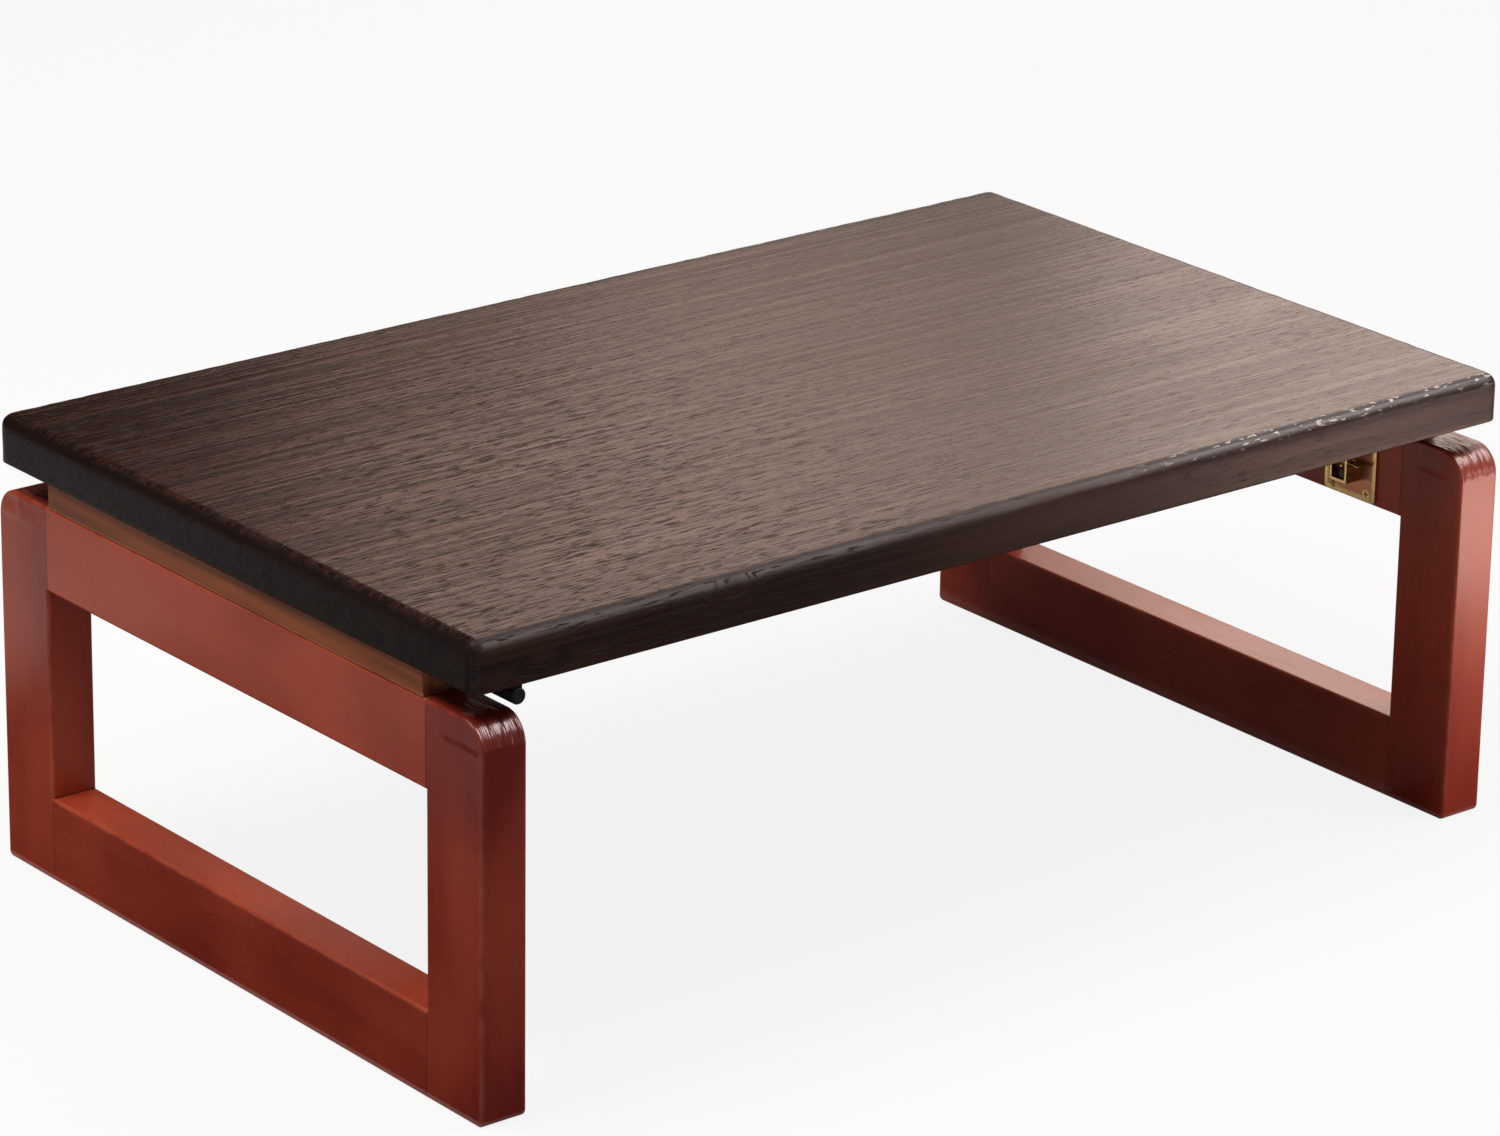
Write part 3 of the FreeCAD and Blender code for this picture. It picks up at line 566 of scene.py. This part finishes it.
def brush(shape):
    shape.normal_update()
    moves = []
    for point in shape.verts:
        rise = min(1.0, max(0.0, (point.co.z - TOP_LOW.z - LOWER_ARRIS) / (RELIEF_FOOT - TOP_LOW.z)))
        moves.append((point, point.normal * (-rise * relief(point.co))))
    for point, move in moves:
        point.co += move
    return max(move.length for point, move in moves)


deepest = brush(board)
print("deepest groove", round(deepest * 1000, 2), "mm")

# %% [markdown]
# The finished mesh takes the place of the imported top. It rides on the same body, so it goes along in
# every pose, fills the same material slot, and says which piece it stands for.

# %% Tabletop: the finished piece
def make_piece(name, shape, body, material):
    mesh = bpy.data.meshes.new(name)
    shape.to_mesh(mesh)
    shape.free()
    piece = bpy.data.objects.new(name, mesh)
    bpy.context.scene.collection.objects.link(piece)
    mesh.materials.append(material)
    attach(piece, body)
    return piece


brushed_top = make_piece("brushed_tabletop", board, "table", scorched_wood)
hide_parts("tabletop")
print("brushed_tabletop stands for tabletop")

# %% [markdown]
# A lacquer finish changes near the edges of a piece: hands and floors rub it thin there. So the leg
# material has to know how far each point is from the nearest edge. A leg is a plain frame, and a few
# distances to its faces, its rounded outline and its window give that without any painted mask.

# %% Where the edges of a leg are
POST_LOW, POST_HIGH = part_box("left_front_post")
SILL_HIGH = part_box("left_bottom_rail")[1].z
HEAD_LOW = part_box("left_top_rail")[0].z
LEG_TOP = POST_HIGH.z
LEG_SIDE = -POST_LOW.y
JAMB = -POST_HIGH.y
LEG_CENTRE = -(POST_LOW.x + POST_HIGH.x) / 2
LEG_HALF = (POST_HIGH.x - POST_LOW.x) / 2
SHOULDER_RADIUS = 0.018


def leg_edge(x, y, z):
    """Distance from the nearest edge of the leg frame."""
    from_face = LEG_HALF - abs(abs(x) - LEG_CENTRE)
    past_side = (abs(y) - (LEG_SIDE - SHOULDER_RADIUS)).most(0.0)
    past_head = (z - (LEG_TOP - SHOULDER_RADIUS)).most(0.0)
    from_outline = SHOULDER_RADIUS - (past_side * past_side + past_head * past_head) ** 0.5
    into_post = (abs(y) - JAMB).most(0.0)
    into_rail = (z - HEAD_LOW).most(SILL_HIGH - z).most(0.0)
    from_window = (into_post * into_post + into_rail * into_rail) ** 0.5
    outline = from_outline.least(z).least(from_window)
    return (from_face * from_face + outline * outline) ** 0.5


print("leg frame", round(2 * LEG_SIDE, 3), "m wide, window", round(2 * JAMB, 3), "m wide")

# %% [markdown]
# The legs are a pale hardwood under a thin red-brown lacquer, so the wood's figure glows through it in
# cloudy patches along each piece's grain. Every post and rail is a piece of wood of its own with its own
# figure. The left front post is darkened as painted shade, and the left bottom rail and the right front
# post shift a little in tone. Where posts and rails meet, the lacquer has sunk into a hair-thin line.
# The upward face of each window's sill is coloured lighter as painted light, and on the rounded upper
# corners the lacquer follows the streaks that sanding the end grain left.

# %% Red lacquer
DEEP_LACQUER = (0.145, 0.0130, 0.0085)
WARM_LACQUER = (0.330, 0.0470, 0.0190)
WORN_LACQUER = (0.480, 0.130, 0.0580)
SEAM_COLOUR = (0.030, 0.006, 0.004)
SEAM_HALF = 0.0004
# The left front post is darkened as painted shade; the other two pieces shift a little in tone.
PIECE_TONES_AND_SHADE = {"left_front_post": -0.28, "left_bottom_rail": -0.06, "right_front_post": 0.02}
# Painted light: the upward face of each sill is coloured lighter.
SILL_PAINTED_LIGHT = 0.35
PATTERN_STEP = (1.7, 0.9, 2.3)
WITH_GRAIN = 0.22
STREAK_SCALE = (200.0, 26.0, 26.0)
GLOW_SCALE, BAND_SCALE, LACQUER_FIBRE_SCALE = 26.0, 170.0, 900.0
BROAD_SCALE, RUBBED_SCALE = 7.0, 60.0
WEAR_ENDS, WEAR_FULL = 0.0034, 0.0010
LACQUER_BUMP = 0.00022


def make_lacquer(name, along, number, piece_tone_and_shade):
    """Lacquered wood with its grain along Y or Z. The number moves the pattern, so no two pieces match."""
    material, place = new_material(name)
    x, y, z = place.parts()
    moved = place.shifted(tuple(number * step for step in PATTERN_STEP))
    lengthways = {"y": (1.0, WITH_GRAIN, 1.0), "z": (1.0, 1.0, WITH_GRAIN)}[along]

    def figure(scale, detail=2.0, roughness=0.5):
        return moved.stretched(*[scale * share for share in lengthways]).cloud(detail, roughness)

    glow = figure(GLOW_SCALE, 1.5, 0.4).rise(0.25, 0.78)
    bands = figure(BAND_SCALE, 2.0, 0.6)
    fibres = figure(LACQUER_FIBRE_SCALE, 2.0)
    broad = moved.scaled(BROAD_SCALE).cloud(1.0)
    patchy = moved.scaled(RUBBED_SCALE).cloud(2.0).rise(0.30, 0.62)
    pale_edge = leg_edge(x, y, z).rise(WEAR_ENDS, WEAR_FULL) * patchy
    in_rail = (z - HEAD_LOW).rise(-0.0005, 0.0) + (SILL_HIGH - z).rise(-0.0005, 0.0)
    seam = abs(abs(y) - JAMB).rise(SEAM_HALF, 0.0) * in_rail
    tone = glow * 0.42 + bands * 0.20 + broad.rise(0.30, 0.70) * 0.55 - 0.07 + piece_tone_and_shade
    # Painted light on the sill's upward face.
    sill_painted_light = (z - SILL_HIGH).rise(-0.0012, -0.0004) * (JAMB - abs(y)).rise(-0.001, 0.001)
    tone = tone + sill_painted_light * SILL_PAINTED_LIGHT
    colour = tone.blend(DEEP_LACQUER, WARM_LACQUER)
    colour = (fibres.rise(0.55, 0.80) * 0.30).blend(colour, DEEP_LACQUER)
    colour = (pale_edge * 0.16).blend(colour, WORN_LACQUER)
    colour = (seam * 0.7).blend(colour, SEAM_COLOUR)
    at_shoulder = (z - (LEG_TOP - SHOULDER_RADIUS)).rise(-0.002, 0.003)
    at_shoulder = at_shoulder * (abs(y) - JAMB).rise(0.0, 0.030)
    streaks = moved.stretched(*STREAK_SCALE).cloud(2.0, 0.6).rise(0.35, 0.65) * at_shoulder
    height = bands * 0.20 + fibres * 0.10 + broad * 0.6 - seam * 0.8 + streaks * 2.2
    roughness = 0.26 + glow * 0.05 + pale_edge * 0.12 + (bands - 0.5) * 0.06
    return give_surface(
        material, height, LACQUER_BUMP, Base_Color=colour, Roughness=roughness, Specular_IOR_Level=0.3)


LEG_GRAIN = {"front_post": "z", "back_post": "z", "top_rail": "y", "bottom_rail": "y"}
number = 0
for side in ("left", "right"):
    for part, along in LEG_GRAIN.items():
        number += 1
        piece = f"{side}_{part}"
        lacquer = make_lacquer(f"{piece}_lacquer", along, number, PIECE_TONES_AND_SHADE.get(piece, 0.0))
        nodes[piece].material_slots[0].material = lacquer
print("lacquer on", number, "leg pieces")

# %% [markdown]
# The battens under the ends are plain brown wood with a thin oil finish. They are sawn, not polished: the
# pores are open and the colour changes from band to band. A pale line along their lower edges is a painted
# highlight.

# %% Batten wood
DARK_BATTEN = (0.080, 0.0200, 0.0080)
LIGHT_BATTEN = (0.280, 0.0760, 0.0220)
# Painted highlight colour for the battens' lower edges.
BATTEN_EDGE_HIGHLIGHT = (0.560, 0.300, 0.170)
BATTEN_STEP = (0.7, 1.3, 0.4)
BATTEN_BANDS = (150.0, 6.0, 150.0)
BATTEN_FIBRES = (700.0, 25.0, 700.0)
BATTEN_PATCHES = (20.0, 12.0, 20.0)
BATTEN_BUMP = 0.00025


def box_edge(place, low, high):
    """Distance from the nearest edge of a block: the second least of the distances to its faces."""
    middle, half = (low + high) / 2, (high - low) / 2
    x, y, z = [half[axis] - abs(part - middle[axis]) for axis, part in enumerate(place.parts())]
    return x.least(y).most(x.most(y).least(z))


def make_batten_wood(name, number, low, high):
    material, place = new_material(name)
    moved = place.shifted(tuple(number * step for step in BATTEN_STEP))
    bands = moved.stretched(*BATTEN_BANDS).cloud(2.0).rise(0.30, 0.70)
    fibres = moved.stretched(*BATTEN_FIBRES).cloud(2.0)
    patches = moved.stretched(*BATTEN_PATCHES).cloud(2.0)
    tone = bands * 0.5 + fibres * 0.3 + patches * 0.4 - 0.1
    below = (place.parts()[2] - low.z).rise(0.0040, 0.0020)
    # Painted highlight: a pale line along the lower edges of the batten.
    pale_edge = box_edge(place, low, high).rise(0.0015, 0.0004) * patches.rise(0.30, 0.60) * below
    colour = (pale_edge * 0.6).blend(tone.blend(DARK_BATTEN, LIGHT_BATTEN), BATTEN_EDGE_HIGHLIGHT)
    height = bands * 0.4 + fibres * 0.4 + patches * 0.2
    roughness = 0.42 + fibres * 0.18
    return give_surface(
        material, height, BATTEN_BUMP, Base_Color=colour, Roughness=roughness, Specular_IOR_Level=0.25)


for number, side in enumerate(("left", "right"), start=1):
    wood = make_batten_wood(f"{side}_batten_wood", number, *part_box(f"{side}_batten"))
    nodes[f"{side}_batten"].material_slots[0].material = wood
print("battens done")

# %% [markdown]
# The brackets are pressed steel with a thin brass plating over copper: yellow and bright where it is
# whole, browner where it has tarnished, and scratched by years of folding. On the flat of the leg plates
# a copper-red tone is a painted reflection of the red legs. Pins, springs and the battens' screws are
# bare bright steel.

# %% Metals and rubber
BRASS_BRIGHT = (0.78, 0.56, 0.22)
BRASS_TARNISHED = (0.46, 0.19, 0.085)
# Painted reflection of the red legs, on the flat of the leg plates.
PAINTED_RED_REFLECTION = (0.70, 0.30, 0.18)
PLATE_GAUGE = 0.0016
STEEL_BRIGHT = (0.60, 0.59, 0.57)
STEEL_DULL = (0.30, 0.28, 0.26)
RUBBER_BLACK = (0.004, 0.004, 0.004)
RUBBER_DUSTY = (0.016, 0.015, 0.014)
METAL_BUMP = 0.00004
RUBBER_BUMP = 0.00012
SCRATCH_SCALE = (3000.0, 260.0, 1400.0)
PLATE_CLOUD_SCALE, TARNISH_SCALE, SPECK_SCALE = 240.0, 90.0, 700.0
DUST_SCALE = (120.0, 60.0, 120.0)
RUBBER_GRAIN_SCALE = 1800.0


def make_leg_plate_finish(name, low, high):
    """Brass plating, still yellow round the rim, with a painted reflection of the red legs on the flat of
    a plate.
    """
    material, place = new_material(name)
    x, y, z = place.parts()
    middle, half = (low + high) / 2, (high - low) / 2
    from_rim = (half.y - abs(y - middle.y)).least(z - low.z)
    flat = (abs(x) - (max(abs(low.x), abs(high.x)) - PLATE_GAUGE)).rise(-0.0012, -0.0004)
    cloud = place.scaled(PLATE_CLOUD_SCALE).cloud(2.0, 0.6)
    # Painted reflection: a copper-red tone in patches on the flat, away from the rim.
    patchy = from_rim.rise(0.0016, 0.0042) * cloud.rise(0.22, 0.40) * flat
    scratches = place.stretched(*SCRATCH_SCALE).cloud(2.0)
    tarnish = cloud.rise(0.50, 0.75) * 0.5
    colour = patchy.blend(tarnish.blend(BRASS_BRIGHT, BRASS_TARNISHED), PAINTED_RED_REFLECTION)
    roughness = 0.12 + patchy * 0.22 + scratches * 0.12
    height = scratches * 0.35 + cloud * 0.4
    return give_surface(material, height, METAL_BUMP, Base_Color=colour, Roughness=roughness, Metallic=1.0)


def make_metal(name, bright, dull, dulling, roughest):
    """Metal with patches that have dulled, fine scratches one way and a faint hammering from the press."""
    material, place = new_material(name)
    patches = place.scaled(TARNISH_SCALE).cloud(3.0, 0.6).rise(0.42, 0.74)
    specks = place.scaled(SPECK_SCALE).cloud(2.0).rise(0.58, 0.74)
    scratches = place.stretched(*SCRATCH_SCALE).cloud(2.0)
    tint = (patches * dulling + specks * 0.35).least(1.0)
    colour = tint.blend(bright, dull)
    roughness = 0.13 + patches * roughest + specks * 0.12 + scratches * 0.10
    height = scratches * 0.35 + specks * 0.3 + patches * 0.3
    return give_surface(material, height, METAL_BUMP, Base_Color=colour, Roughness=roughness, Metallic=1.0)


def make_rubber():
    material, place = new_material("black_rubber")
    dust = place.stretched(*DUST_SCALE).cloud(3.0, 0.6).rise(0.40, 0.75)
    grains = place.scaled(RUBBER_GRAIN_SCALE).cloud(2.0)
    colour = (dust * 0.7).blend(RUBBER_BLACK, RUBBER_DUSTY)
    roughness = 0.62 + dust * 0.2
    height = grains * 0.6 + dust * 0.4
    return give_surface(
        material, height, RUBBER_BUMP, Base_Color=colour, Roughness=roughness, Specular_IOR_Level=0.2)


brass = make_metal("brass_plated_steel", BRASS_BRIGHT, BRASS_TARNISHED, 0.75, 0.22)
steel = make_metal("bright_steel", STEEL_BRIGHT, STEEL_DULL, 0.6, 0.18)
rubber = make_rubber()
FINISHES = {
    "top_plate": brass,
    "lock_slide": brass,
    "leg_screws": brass,
    "top_screws": brass,
    "hinge_pin": steel,
    "lock_spring": steel,
    "batten_screws": steel,
    "rubber_buffer": rubber,
}
for name, node in nodes.items():
    for ending, finish in FINISHES.items():
        if name.endswith(ending):
            node.material_slots[0].material = finish
leg_plates = [name for name in nodes if name.endswith("leg_plate")]
for name in leg_plates:
    nodes[name].material_slots[0].material = make_leg_plate_finish(f"{name}_finish", *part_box(name))
print("rubbed brass on", len(leg_plates), "leg plates")
print("metal and rubber on", sum(name.endswith(tuple(FINISHES)) for name in nodes), "other pieces")
